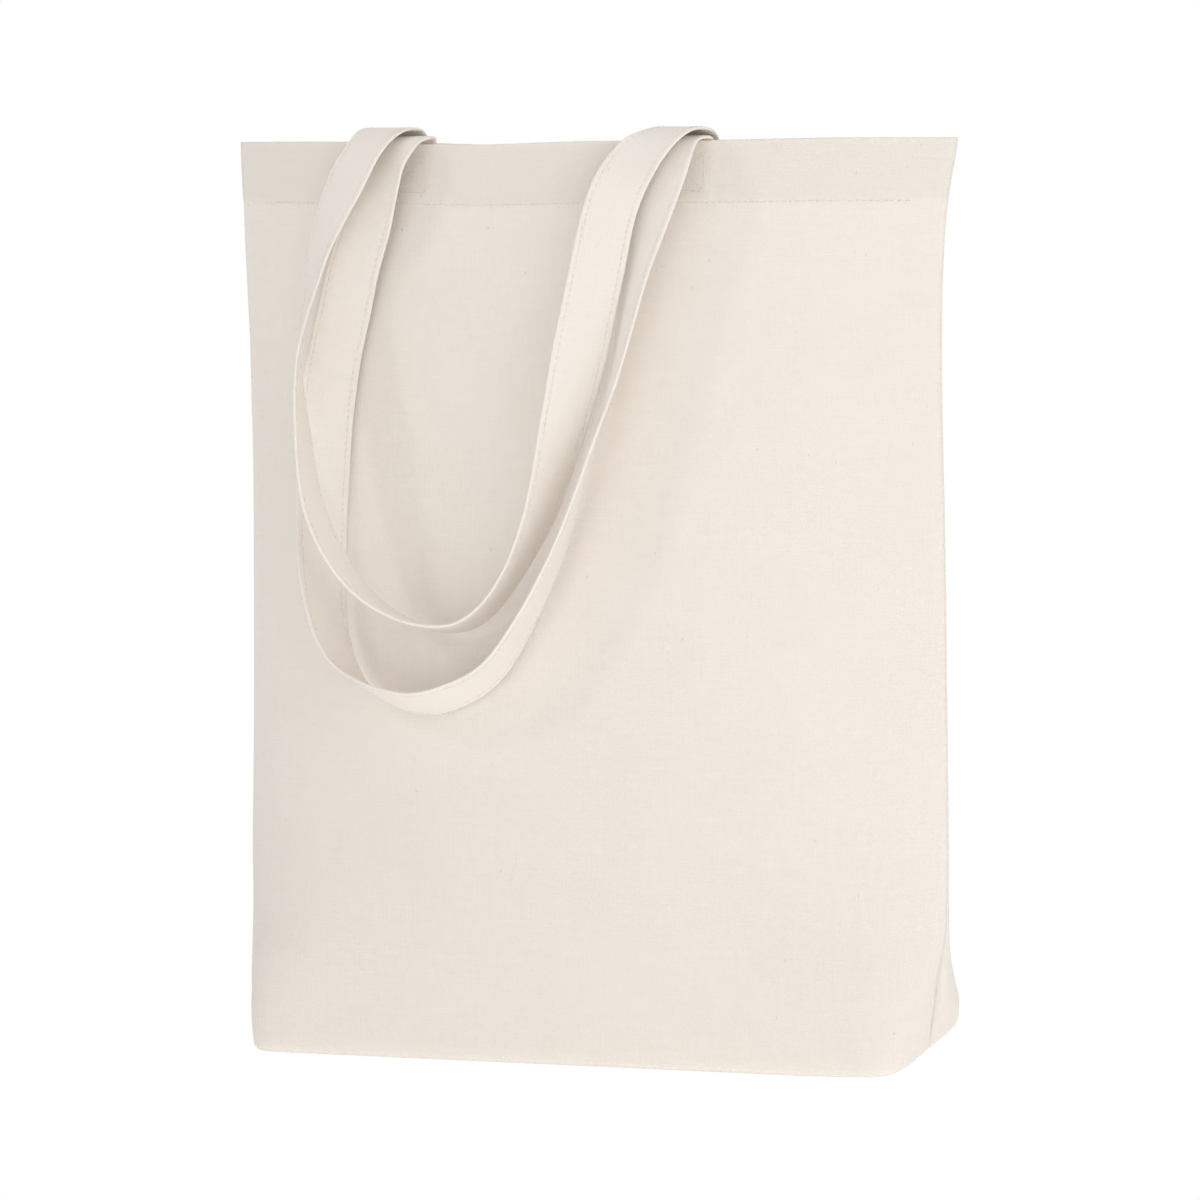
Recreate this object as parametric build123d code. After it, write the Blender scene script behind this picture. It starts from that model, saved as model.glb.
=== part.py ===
from build123d import *

import math
import os

# Body of the bag, in millimetres. The front faces -Y, and the base stands on z = 0.
BAG_HEIGHT = 420.0
MOUTH_HALF_WIDTH = 186.5
WAIST_HALF_WIDTH = 182.0
BASE_HALF_WIDTH = 170.0
MOUTH_FRONT_BULGE = 34.0
MOUTH_BACK_BULGE = 1.0
MIDDLE_FRONT_BULGE = 31.0
MIDDLE_BACK_BULGE = 21.0
MIDDLE_HEIGHT = 160.0
BASE_HALF_DEPTH = 30.0
CORNER_HEIGHT = 65.0
BASE_EDGE_ROUND = 4.0
CLOTH = 0.8

# Hem and seams.
HEM_DEPTH = 30.0
HEM_END_SETBACK = 14.0
SEAM_THICKNESS = 1.2
SEAM_WIDTH = 9.0
BASE_SEAM_END_SETBACK = 36.0
CORNER_SEAM_END_SETBACK = 13.0
PLY_GAP = 0.1

# Handles: cotton webbing, sewn inside the hem and hung over the front.
STRAP_WIDTH = 25.0
STRAP_THICKNESS = 2.0
HANDLE_HALF_SPACING = 72.5
HANDLE_OFFSET = -6.0
HANDLE_END_LENGTH = 27.0
PIVOT_RISE = 1.6
PIVOT_CLEARANCE = 0.3

# Stitching.
THREAD_WIDTH = 0.7
THREAD_HEIGHT = 0.35
THREAD_GAP = 0.05
HEM_STITCH_INSET = 1.5
EDGE_STITCH_INSET = 2.5
STITCH_START = 9.0
TACK_WIDTH = 18.0
TACK_HEIGHT = 17.0
TACK_TOP_INSET = 6.0

# Sampling of the curved shapes.
SECTION_POINTS = 41
CURVE_SAMPLES = 600
STRAP_TURN_STEP = 12.0
STRAP_LONGEST_STEP = 16.0

SEAM_HALF_GAP = SEAM_THICKNESS / 2 + PLY_GAP
HEM_LOW = BAG_HEIGHT - HEM_DEPTH
PIVOT_HEIGHT = BAG_HEIGHT + PIVOT_RISE
HANDLE_END_TOP = PIVOT_HEIGHT - STRAP_THICKNESS / 2 - PIVOT_CLEARANCE
FRONT, BACK = -1, 1
LEFT, RIGHT = -1, 1


def part_way(low, high, share):
    """The value that lies a share of the way from low to high."""
    return low + (high - low) * share


def base_section(height, inset):
    """A section of the base, drawn in by the rounding of its lower edge."""
    depth = BASE_HALF_DEPTH - inset
    return (height, BASE_HALF_WIDTH - inset, depth, depth, 14.0, 3.5)


# Horizontal sections of the body, from the base to the mouth: height, half width,
# front bulge, back bulge, flatness of the faces and squareness of their ends.
UPPER_HEIGHT = part_way(MIDDLE_HEIGHT, HEM_LOW, 0.45)
SECTIONS = (
    base_section(CLOTH, BASE_EDGE_ROUND * 0.625),
    base_section(CLOTH + BASE_EDGE_ROUND * 0.3, BASE_EDGE_ROUND * 0.225),
    base_section(CLOTH + BASE_EDGE_ROUND, 0.0),
    (
        CORNER_HEIGHT * 0.46,
        part_way(BASE_HALF_WIDTH, WAIST_HALF_WIDTH, 0.5),
        part_way(BASE_HALF_DEPTH, MIDDLE_FRONT_BULGE, 0.25),
        BASE_HALF_DEPTH,
        9.0,
        2.4,
    ),
    (
        CORNER_HEIGHT,
        part_way(BASE_HALF_WIDTH, WAIST_HALF_WIDTH, 0.94),
        part_way(BASE_HALF_DEPTH, MIDDLE_FRONT_BULGE, 0.5),
        part_way(BASE_HALF_DEPTH, MIDDLE_BACK_BULGE, 0.2),
        5.0,
        1.6,
    ),
    (
        part_way(CORNER_HEIGHT, MIDDLE_HEIGHT, 0.47),
        WAIST_HALF_WIDTH,
        part_way(BASE_HALF_DEPTH, MIDDLE_FRONT_BULGE, 0.75),
        part_way(BASE_HALF_DEPTH, MIDDLE_BACK_BULGE, 0.5),
        3.4,
        1.25,
    ),
    (MIDDLE_HEIGHT, WAIST_HALF_WIDTH, MIDDLE_FRONT_BULGE, MIDDLE_BACK_BULGE, 3.0, 1.15),
    (
        UPPER_HEIGHT,
        part_way(WAIST_HALF_WIDTH, MOUTH_HALF_WIDTH, 0.1),
        part_way(MIDDLE_FRONT_BULGE, MOUTH_FRONT_BULGE, 0.5),
        part_way(MIDDLE_BACK_BULGE, MOUTH_BACK_BULGE, 0.45),
        2.6,
        1.05,
    ),
    (HEM_LOW, MOUTH_HALF_WIDTH, MOUTH_FRONT_BULGE, MOUTH_BACK_BULGE, 2.2, 1.0),
    (BAG_HEIGHT, MOUTH_HALF_WIDTH, MOUTH_FRONT_BULGE, MOUTH_BACK_BULGE, 2.2, 1.0),
)
BASE, MOUTH = SECTIONS[0], SECTIONS[-1]


def inner_reach(section, face, x):
    """Distance of a panel's inner surface from the seam plane, at x."""
    half_width, flatness, squareness = section[1], section[4], section[5]
    bulge = section[2] if face == FRONT else section[3]
    share = max(0.0, 1.0 - abs(x / half_width) ** flatness)
    return SEAM_HALF_GAP + bulge * share ** (1 / squareness)


def section_at(height):
    """The body's section at any height, between the listed ones."""
    height = min(max(height, BASE[0]), MOUTH[0])
    upper = next(i for i, row in enumerate(SECTIONS) if row[0] >= height and i > 0)
    low, high = SECTIONS[upper - 1], SECTIONS[upper]
    share = (height - low[0]) / (high[0] - low[0])
    return tuple(part_way(a, b, share) for a, b in zip(low, high))


def even_points(section, face, half_length):
    """Points at even spacing along a panel's inner curve, from left to right."""
    curve = []
    for i in range(CURVE_SAMPLES + 1):
        x = half_length * math.sin(math.pi * (i / CURVE_SAMPLES - 0.5))
        curve.append((x, face * inner_reach(section, face, x)))
    run = [0.0]
    for near, far in zip(curve, curve[1:]):
        run.append(run[-1] + math.dist(near, far))
    points = []
    step = 0
    for i in range(SECTION_POINTS):
        target = run[-1] * i / (SECTION_POINTS - 1)
        while step < CURVE_SAMPLES - 1 and run[step + 1] < target:
            step += 1
        share = (target - run[step]) / (run[step + 1] - run[step])
        ends = zip(curve[step], curve[step + 1])
        points.append(tuple(part_way(a, b, share) for a, b in ends))
    return points


def offset_points(points, face, distance):
    """The points moved outwards from the bag, at right angles to their curve."""
    moved = []
    last = len(points) - 1
    for i, (x, y) in enumerate(points):
        before, after = points[max(i - 1, 0)], points[min(i + 1, last)]
        run_x, run_y = after[0] - before[0], after[1] - before[1]
        length = math.hypot(run_x, run_y)
        moved.append((x - face * run_y / length * distance, y + face * run_x / length * distance))
    return moved


def strip_wire(points, face, near, far, height):
    """Closed outline of a cloth strip between two distances from a curve."""
    inner = [(x, y, height) for x, y in offset_points(points, face, near)]
    outer = [(x, y, height) for x, y in offset_points(points, face, far)]
    return Wire(
        [
            Edge.make_spline(inner),
            Edge.make_line(inner[-1], outer[-1]),
            Edge.make_spline(list(reversed(outer))),
            Edge.make_line(outer[0], inner[0]),
        ]
    )


def mouth_strip(face, centre, half_length, near, far, low, high):
    """A strip that follows a panel near the mouth, where the bag stands upright."""
    points = []
    for i in range(SECTION_POINTS):
        x = centre + half_length * (2 * i / (SECTION_POINTS - 1) - 1)
        points.append((x, face * inner_reach(MOUTH, face, x)))
    outline = Face(strip_wire(points, face, near, far, low))
    return extrude(outline, amount=high - low, dir=(0, 0, 1))


def panel(face):
    wires = []
    for section in SECTIONS:
        points = even_points(section, face, section[1])
        wires.append(strip_wire(points, face, 0.0, CLOTH, section[0]))
    return Solid.make_loft(wires, ruled=True)


def base_panel():
    front = offset_points(even_points(BASE, FRONT, BASE[1]), FRONT, CLOTH)
    back = offset_points(even_points(BASE, BACK, BASE[1]), BACK, CLOTH)
    outline = Wire(
        [
            Edge.make_spline([(x, y, 0) for x, y in front]),
            Edge.make_line(front[-1], back[-1]),
            Edge.make_spline([(x, y, 0) for x, y in reversed(back)]),
            Edge.make_line(back[0], front[0]),
        ]
    )
    return extrude(Face(outline), amount=CLOTH, dir=(0, 0, 1))


def hem(face):
    half_length = MOUTH_HALF_WIDTH - HEM_END_SETBACK
    return mouth_strip(face, 0.0, half_length, -PLY_GAP - CLOTH, -PLY_GAP, HEM_LOW, BAG_HEIGHT)


def block(low, high):
    """An upright box between two corners."""
    size = [b - a for a, b in zip(low, high)]
    middle = [(a + b) / 2 for a, b in zip(low, high)]
    return Pos(*middle) * Box(*size)


def side_seam(side):
    """The side seam allowance, a flat strip caught between the two panels."""
    half = SEAM_THICKNESS / 2
    start = CLOTH + SEAM_WIDTH + BASE_EDGE_ROUND
    heights = [start] + [row[0] for row in SECTIONS if row[0] > start]
    wires = []
    for height in heights:
        edge = section_at(height)[1]
        ends = [side * (edge - SEAM_WIDTH), side * edge]
        corners = [(ends[0], -half), (ends[1], -half), (ends[1], half), (ends[0], half)]
        wires.append(Wire.make_polygon([(x, y, height) for x, y in corners], close=True))
    return Solid.make_loft(wires, ruled=True)


def corner_seam(side):
    """The cross seam of a boxed corner, standing on the base at its end."""
    half_length = BASE_HALF_DEPTH - CORNER_SEAM_END_SETBACK
    depth = BASE[2]
    reach = BASE[1] * (1 - (half_length / depth) ** BASE[5]) ** (1 / BASE[4]) - PLY_GAP
    xs = sorted((side * (reach - SEAM_THICKNESS), side * reach))
    return block((xs[0], -half_length, CLOTH), (xs[1], half_length, CLOTH + SEAM_WIDTH))


def base_seam(face):
    """The seam allowance that joins the base to a panel, standing on the base."""
    half_length = BASE_HALF_WIDTH - BASE_SEAM_END_SETBACK
    reach = inner_reach(BASE, face, half_length) - PLY_GAP
    ys = sorted((face * (reach - SEAM_THICKNESS), face * reach))
    return block((-half_length, ys[0], CLOTH), (half_length, ys[1], CLOTH + SEAM_WIDTH))


HANDLE_END_NEAR = -2 * PLY_GAP - CLOTH


def end_centre(side):
    return side * HANDLE_HALF_SPACING + HANDLE_OFFSET


def handle_end(face, side):
    """A handle's sewn end, flat against the inside of the hem."""
    low = HANDLE_END_TOP - HANDLE_END_LENGTH
    far = HANDLE_END_NEAR - STRAP_THICKNESS
    centre = end_centre(side)
    return mouth_strip(face, centre, STRAP_WIDTH / 2, far, HANDLE_END_NEAR, low, HANDLE_END_TOP)


def pivot_depth(face):
    """Where a handle bends, midway through the thickness of its sewn ends."""
    reach = inner_reach(MOUTH, face, HANDLE_HALF_SPACING)
    return face * (reach + HANDLE_END_NEAR - STRAP_THICKNESS / 2)


def thread_strip(face, centre, half_length, low, high):
    near = CLOTH + THREAD_GAP
    return mouth_strip(face, centre, half_length, near, near + THREAD_HEIGHT, low, high)


def hem_stitching(face):
    low = HEM_LOW + HEM_STITCH_INSET
    return thread_strip(face, 0.0, MOUTH_HALF_WIDTH - HEM_END_SETBACK, low, low + THREAD_WIDTH)


def tack(face, side):
    """The box and cross stitching that holds a handle's end."""
    centre_x = end_centre(side)
    high = BAG_HEIGHT - TACK_TOP_INSET
    centre_z = high - TACK_HEIGHT / 2
    frame = Rectangle(TACK_WIDTH, TACK_HEIGHT)
    frame -= Rectangle(TACK_WIDTH - 2 * THREAD_WIDTH, TACK_HEIGHT - 2 * THREAD_WIDTH)
    slant = math.degrees(math.atan2(TACK_HEIGHT, TACK_WIDTH))
    length = math.hypot(TACK_WIDTH, TACK_HEIGHT) - 2 * THREAD_WIDTH
    for angle in (slant, -slant):
        frame += Rot(0, 0, angle) * Rectangle(length, THREAD_WIDTH)
    reach = MOUTH_FRONT_BULGE + MOUTH_BACK_BULGE + STRAP_WIDTH
    pattern = extrude(Plane.XZ * frame, amount=reach, both=True)
    skin = thread_strip(face, centre_x, TACK_WIDTH / 2, high - TACK_HEIGHT, high)
    return skin & (Pos(centre_x, 0, centre_z) * pattern)


# Routes of the two handles from the left sewn end to the right one. Each point is
# the side whose end it is measured from, its shift in x, the clear gap between the
# strap and the front panel, its drop below the mouth, the strap's turn in degrees
# and the lean of its width towards the vertical. The back handle lies over the front
# one, so its gap there is OVER more or less.
OVER = 0.84 * STRAP_WIDTH
FRONT_ROUTE = (
    (LEFT, 0, 2.5, -1.2, -4, 0),
    (LEFT, -1.5, 6.5, 0.8, -10, 0),
    (LEFT, -6, 7.5, 9.5, -20, 0),
    (LEFT, -13.5, 8, 22, -10, 0),
    (LEFT, -20.3, 8.5, 38, 2, 0),
    (LEFT, -27.8, 7, 58, 12, 0),
    (LEFT, -33.3, 5.2, 76, 18, 0),
    (LEFT, -42.5, 3.5, 111, 28, 0),
    (LEFT, -45.5, 2.5, 162, 46, 0),
    (LEFT, -41.8, 3, 211, 70, 0),
    (LEFT, -33, 3, 235, 85, -0.1),
    (LEFT, -18.5, 3.5, 248.5, 91, -0.36),
    (LEFT, 12.5, 3.5, 256.5, 94, -0.46),
    (LEFT, 37.5, 3.5, 250, 96, -0.4),
    (LEFT, 54.5, 3.5, 239, 98, -0.26),
    (RIGHT, -71, 3.7, 212, 101, -0.1),
    (RIGHT, -55, 3.9, 182, 106, 0),
    (RIGHT, -45.5, 4.4, 158, 113, 0),
    (RIGHT, -39.5, 3.4, 138, 119, 0),
    (RIGHT, -29, 3, 108, 126, 0),
    (RIGHT, -17.5, 5, 55, 150, 0),
    (RIGHT, -6.2, 9.5, 22, 167, 0),
    (RIGHT, -1.9, 11.5, 9, 174, 0),
    (RIGHT, -0.5, 9, 0.5, 178, 0),
    (RIGHT, 0, 2.5, -1.2, 180, 0),
)
BACK_ROUTE = (
    (LEFT, -1, -16, -2.6, 0, 0),
    (LEFT, -8, -3, -4.8, 2, 0),
    (LEFT, -11, 9.5, -4.7, 4, 0),
    (LEFT, -13.8, 16.5, 2.5, 14, 0),
    (LEFT, -18.8, 18.2, 12, 19, 0),
    (LEFT, -28.7, 15.8, 25, 26, 0),
    (LEFT, -41, 12, 45, 35, 0),
    (LEFT, -46, 11.5, 66, 47, 0),
    (LEFT, -47.5, 15.5, 84, 56, 0),
    (LEFT, -46, OVER, 104, 64, 0),
    (LEFT, -41.5, OVER + 2, 133, 74, 0),
    (LEFT, -33.5, OVER + 3, 167, 82, 0),
    (LEFT, -20.5, OVER - 1, 193, 82, 0),
    (LEFT, -6.5, 10, 211, 76, 0),
    (LEFT, 13.5, 5, 220.5, 70, 0.06),
    (LEFT, 33.5, 4, 221.5, 67, 0.16),
    (RIGHT, -98.5, 4, 216, 72, 0.2),
    (RIGHT, -83.5, 4, 201, 79, 0.12),
    (RIGHT, -66.5, 4.5, 172, 95, 0.04),
    (RIGHT, -56, 6.5, 143, 112, 0),
    (RIGHT, -46, 9.5, 108, 134, 0),
    (RIGHT, -36, 12, 66, 152, 0),
    (RIGHT, -26.2, 14, 25, 170, 0),
    (RIGHT, -16.9, 14.8, 10, 184, 0),
    (RIGHT, -8.7, 13.2, 2, 190, 0),
    (RIGHT, -2.7, 8, -4.8, 189, 0),
    (RIGHT, 0.1, -3, -5.1, 184, 0),
    (RIGHT, 0, -16, -2.6, 180, 0),
)


def route_points(route, face):
    """The route as x, y, z, turn and lean, with the bends at both sewn ends added."""
    pivot_y = pivot_depth(face)
    points = [(end_centre(LEFT), pivot_y, PIVOT_HEIGHT, 0.0, 0.0)]
    for side, shift, gap, drop, turn, lean in route:
        x = end_centre(side) + shift
        z = BAG_HEIGHT - drop
        angle = math.radians(turn)
        reach = STRAP_WIDTH * abs(math.sin(angle)) + STRAP_THICKNESS * abs(math.cos(angle))
        panel_y = -inner_reach(section_at(z), FRONT, x) - CLOTH
        points.append((x, panel_y - gap - reach / 2, z, turn, lean))
    points.append((end_centre(RIGHT), pivot_y, PIVOT_HEIGHT, 180.0, 0.0))
    return points


def smooth_route(points):
    """A smooth curve through the points, in steps that follow its bends."""
    ends = [[2 * a - b for a, b in zip(points[i], points[j])] for i, j in ((0, 1), (-1, -2))]
    padded = [ends[0], *points, ends[1]]
    stations = [points[0]]
    for p0, p1, p2, p3 in zip(padded, padded[1:], padded[2:], padded[3:]):
        knots = [0.0]
        for near, far in ((p0, p1), (p1, p2), (p2, p3)):
            knots.append(knots[-1] + math.sqrt(math.dist(near[:3], far[:3])))
        chords = [Vector(*b[:3]) - Vector(*a[:3]) for a, b in ((p0, p1), (p1, p2), (p2, p3))]
        bend = max(chords[0].get_angle(chords[1]), chords[1].get_angle(chords[2]))
        turn = max(bend, abs(p2[3] - p1[3]))
        steps = max(turn / STRAP_TURN_STEP, chords[1].length / STRAP_LONGEST_STEP)
        count = max(1, math.ceil(steps))
        for i in range(1, count + 1):
            t = part_way(knots[1], knots[2], i / count)
            stations.append(spline_point((p0, p1, p2, p3), knots, t))
    return stations


def spline_point(points, knots, t):
    """A point of the smooth curve through four points with the given knots."""
    level = [list(p) for p in points]
    for order in (1, 2, 3):
        pairs = []
        for i in range(4 - order):
            low, high = i, i + order
            if order == 3:
                low, high = 1, 2
            elif order == 2:
                low, high = i, i + 2
            share = (t - knots[low]) / (knots[high] - knots[low])
            pairs.append([part_way(a, b, share) for a, b in zip(level[i], level[i + 1])])
        level = pairs
    return level[0]


def strap_frames(route, face):
    """Centre, width direction and facing direction of a strap along its route."""
    stations = smooth_route(route_points(route, face))
    last = len(stations) - 1
    twist = 1 if face == FRONT else -1
    frames = []
    for i, (x, y, z, turn, lean) in enumerate(stations):
        before, after = stations[max(i - 1, 0)], stations[min(i + 1, last)]
        along = (Vector(*after[:3]) - Vector(*before[:3])).normalized()
        angle = math.radians(turn)
        across = Vector(math.cos(angle), twist * math.sin(angle), lean)
        across = (across - along * across.dot(along)).normalized()
        frames.append((Vector(x, y, z), across, along.cross(across)))
    return frames


def strap_loft(frames, left, right, low, high):
    """A band along the strap, between two distances across it and through it."""
    wires = []
    for centre, across, facing in frames:
        corners = ((left, low), (right, low), (right, high), (left, high))
        points = [centre + across * a + facing * f for a, f in corners]
        wires.append(Wire.make_polygon(points, close=True))
    return Solid.make_loft(wires, ruled=True)


def handle(frames):
    half_width, half_thickness = STRAP_WIDTH / 2, STRAP_THICKNESS / 2
    return strap_loft(frames, -half_width, half_width, -half_thickness, half_thickness)


def handle_stitching(frames):
    """Rows of topstitching near both edges of a strap, on both of its faces."""
    middle = STRAP_WIDTH / 2 - EDGE_STITCH_INSET
    near = STRAP_THICKNESS / 2 + THREAD_GAP
    far = near + THREAD_HEIGHT
    ends = (frames[0][0], frames[-1][0])
    free = [f for f in frames if min((f[0] - end).length for end in ends) > STITCH_START]
    rows = []
    for centre in (-middle, middle):
        left, right = centre - THREAD_WIDTH / 2, centre + THREAD_WIDTH / 2
        rows.append(strap_loft(free, left, right, near, far))
        rows.append(strap_loft(free, left, right, -far, -near))
    return Compound(children=rows)


def build():
    front_frames = strap_frames(FRONT_ROUTE, FRONT)
    back_frames = strap_frames(BACK_ROUTE, BACK)
    nodes = {
        "base_panel": base_panel(),
        "front_handle": handle(front_frames),
        "back_handle": handle(back_frames),
        "front_handle_stitching": handle_stitching(front_frames),
        "back_handle_stitching": handle_stitching(back_frames),
    }
    for name, face in (("front", FRONT), ("back", BACK)):
        nodes[f"{name}_panel"] = panel(face)
        nodes[f"{name}_hem"] = hem(face)
        nodes[f"{name}_hem_stitching"] = hem_stitching(face)
        nodes[f"{name}_base_seam"] = base_seam(face)
        for side_name, side in (("left", LEFT), ("right", RIGHT)):
            nodes[f"{name}_handle_{side_name}_end"] = handle_end(face, side)
            nodes[f"{name}_handle_{side_name}_tack"] = tack(face, side)
    for side_name, side in (("left", LEFT), ("right", RIGHT)):
        nodes[f"{side_name}_side_seam"] = side_seam(side)
        nodes[f"{side_name}_corner_seam"] = corner_seam(side)
    return nodes


os.makedirs("parts", exist_ok=True)
for node, shape in build().items():
    export_step(shape, f"parts/{node}.step")
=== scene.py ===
import math

import bpy
import numpy as np
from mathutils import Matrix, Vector


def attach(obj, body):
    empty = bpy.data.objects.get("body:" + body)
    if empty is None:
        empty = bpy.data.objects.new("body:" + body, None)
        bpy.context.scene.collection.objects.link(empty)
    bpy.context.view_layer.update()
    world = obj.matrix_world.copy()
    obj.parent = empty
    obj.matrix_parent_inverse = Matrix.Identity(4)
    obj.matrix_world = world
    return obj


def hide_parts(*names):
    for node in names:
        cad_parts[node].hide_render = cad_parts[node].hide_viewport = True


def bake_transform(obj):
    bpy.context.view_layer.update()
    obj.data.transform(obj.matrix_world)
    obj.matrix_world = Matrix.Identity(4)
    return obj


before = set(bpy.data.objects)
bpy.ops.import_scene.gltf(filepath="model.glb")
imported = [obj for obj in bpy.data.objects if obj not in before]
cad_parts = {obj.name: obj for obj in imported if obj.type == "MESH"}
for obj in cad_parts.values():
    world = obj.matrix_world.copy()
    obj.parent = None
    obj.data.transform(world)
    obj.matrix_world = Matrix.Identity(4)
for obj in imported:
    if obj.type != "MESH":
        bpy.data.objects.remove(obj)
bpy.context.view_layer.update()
scene = bpy.context.scene
scene.view_settings.view_transform = "Standard"
MM = 0.001  # shapes are worked out in millimetres, and meshes are in metres

# Camera: 30 degrees to the right of the front, a little above the horizontal, with a long lens.
VIEW_AZIMUTH, VIEW_ELEVATION, VIEW_DISTANCE = math.radians(30.0), math.radians(2.1), 5.0
VIEW_TARGET = Vector((0.006, -0.005, 0.211))
camera_data = bpy.data.cameras.new("camera")
camera_data.sensor_width = 36.0
camera_data.lens = 329.3
camera_data.clip_end = 60.0
camera = bpy.data.objects.new("camera", camera_data)
scene.collection.objects.link(camera)
flat_run = math.cos(VIEW_ELEVATION)
toward = Vector((
    math.sin(VIEW_AZIMUTH) * flat_run,
    -math.cos(VIEW_AZIMUTH) * flat_run,
    math.sin(VIEW_ELEVATION),
))
camera.location = VIEW_TARGET + toward * VIEW_DISTANCE
camera.rotation_euler = (-toward).to_track_quat("-Z", "Y").to_euler()
scene.camera = camera

# Sizes of the bag, in millimetres, as in the solid model.
HEIGHT = 420.0
CLOTH = 0.8  # thickness of one ply
PLY_GAP = 0.1
HEM_DEPTH = 30.0
HEM_STITCH_HEIGHT = HEIGHT - HEM_DEPTH + 1.85
SEAM_HALF_GAP = 0.7
SEAM_WIDTH = 9.0
STRAP_WIDTH = 25.0
STRAP_HALF_THICKNESS = 1.0
END_LOW = 393.3  # foot of the handles' sewn ends
FRONT, BACK = -1, 1
LEFT, RIGHT = -1, 1
END_X = {LEFT: -78.5, RIGHT: 66.5}

# Height, half width, front bulge, back bulge, flatness and squareness of the body's sections.
SECTIONS = np.array([
    (0.0, 169.4, 29.4, 29.4, 30.0, 6.0),
    (4.8, 170.0, 30.0, 30.0, 30.0, 6.0),
    (29.9, 176.0, 30.25, 30.0, 13.0, 3.2),
    (65.0, 181.3, 30.5, 28.2, 5.0, 1.6),
    (109.65, 182.0, 30.75, 25.5, 3.4, 1.25),
    (160.0, 182.0, 31.0, 21.0, 3.0, 1.15),
    (263.5, 182.45, 32.5, 12.05, 2.6, 1.05),
    (390.0, 186.5, 34.0, 1.0, 2.2, 1.0),
    (420.0, 186.5, 34.0, 1.0, 2.2, 1.0),
])


def smoothstep(low, high, value):
    t = np.clip((np.asarray(value, float) - low) / (high - low), 0.0, 1.0)
    return t * t * (3.0 - 2.0 * t)


def hump(value, centre, spread):
    """One at the centre, falling smoothly to nought on both sides."""
    return np.exp(-(((value - centre) / spread) ** 2))


def monotone_slopes(xs, ys):
    """Slopes for a cubic through the points that never overshoots them."""
    step = np.diff(xs)
    rise = np.diff(ys) / step
    slopes = np.zeros_like(ys)
    slopes[0], slopes[-1] = rise[0], rise[-1]
    for i in range(1, len(xs) - 1):
        if rise[i - 1] * rise[i] > 0:
            w1, w2 = 2 * step[i] + step[i - 1], step[i] + 2 * step[i - 1]
            slopes[i] = (w1 + w2) / (w1 / rise[i - 1] + w2 / rise[i])
    return slopes


SLOPES = np.stack(
    [monotone_slopes(SECTIONS[:, 0], SECTIONS[:, k]) for k in range(1, SECTIONS.shape[1])],
    axis=1,
)


def section(z):
    """Half width, front bulge, back bulge, flatness and squareness at a height."""
    z = min(max(z, SECTIONS[0, 0]), SECTIONS[-1, 0])
    i = min(max(int(np.searchsorted(SECTIONS[:, 0], z)) - 1, 0), len(SECTIONS) - 2)
    step = SECTIONS[i + 1, 0] - SECTIONS[i, 0]
    t = (z - SECTIONS[i, 0]) / step
    low, high = SECTIONS[i, 1:], SECTIONS[i + 1, 1:]
    a = (1 + 2 * t) * (1 - t) ** 2
    b = t * (1 - t) ** 2 * step
    c = t * t * (3 - 2 * t)
    d = t * t * (t - 1) * step
    return a * low + b * SLOPES[i] + c * high + d * SLOPES[i + 1]


def inner_reach(row, face, x):
    """Distance of a panel's inner surface from the plane of the side seams."""
    half_width, flatness, squareness = row[0], row[3], row[4]
    bulge = row[1] if face == FRONT else row[2]
    share = np.clip(1.0 - np.abs(np.asarray(x) / half_width) ** flatness, 0.0, 1.0)
    return SEAM_HALF_GAP + bulge * share ** (1 / squareness)


CURVE_SAMPLES = 1601


def panel_curve(row, face, count, inset=0.0):
    """Points at even spacing along a panel's inner curve, from left to right."""
    drawn = row.copy()
    drawn[:3] -= inset
    x = drawn[0] * np.sin(math.pi * (np.linspace(0, 1, CURVE_SAMPLES) - 0.5))
    y = face * inner_reach(drawn, face, x)
    run = np.concatenate([[0], np.cumsum(np.hypot(np.diff(x), np.diff(y)))])
    at = np.linspace(0, run[-1], count)
    return np.stack([np.interp(at, run, x), np.interp(at, run, y)], axis=1)


def new_object(name, verts, faces):
    mesh = bpy.data.meshes.new(name)
    mesh.from_pydata([tuple(v) for v in verts], [], faces)
    mesh.validate()
    mesh.update()
    mesh.polygons.foreach_set("use_smooth", [True] * len(mesh.polygons))
    obj = bpy.data.objects.new(name, mesh)
    scene.collection.objects.link(obj)
    return obj


def add_weave_map(obj, uv):
    """The cloth's own thread directions, in metres, as a named map."""
    layer = obj.data.uv_layers.new(name="weave")
    index = np.empty(len(obj.data.loops), int)
    obj.data.loops.foreach_get("vertex_index", index)
    layer.data.foreach_set("uv", np.asarray(uv, float)[index].ravel())


def add_tone(obj, name, values):
    """A named tone at each point, which the cloth's material reads."""
    attribute = obj.data.attributes.new(name, "FLOAT", "POINT")
    attribute.data.foreach_set("value", np.asarray(values, np.float32))


def grid_normals(grid):
    du = np.gradient(grid, axis=1)
    dv = np.gradient(grid, axis=0)
    normal = np.cross(du, dv)
    return normal / np.maximum(np.linalg.norm(normal, axis=2), 1e-9)[..., None]


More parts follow.
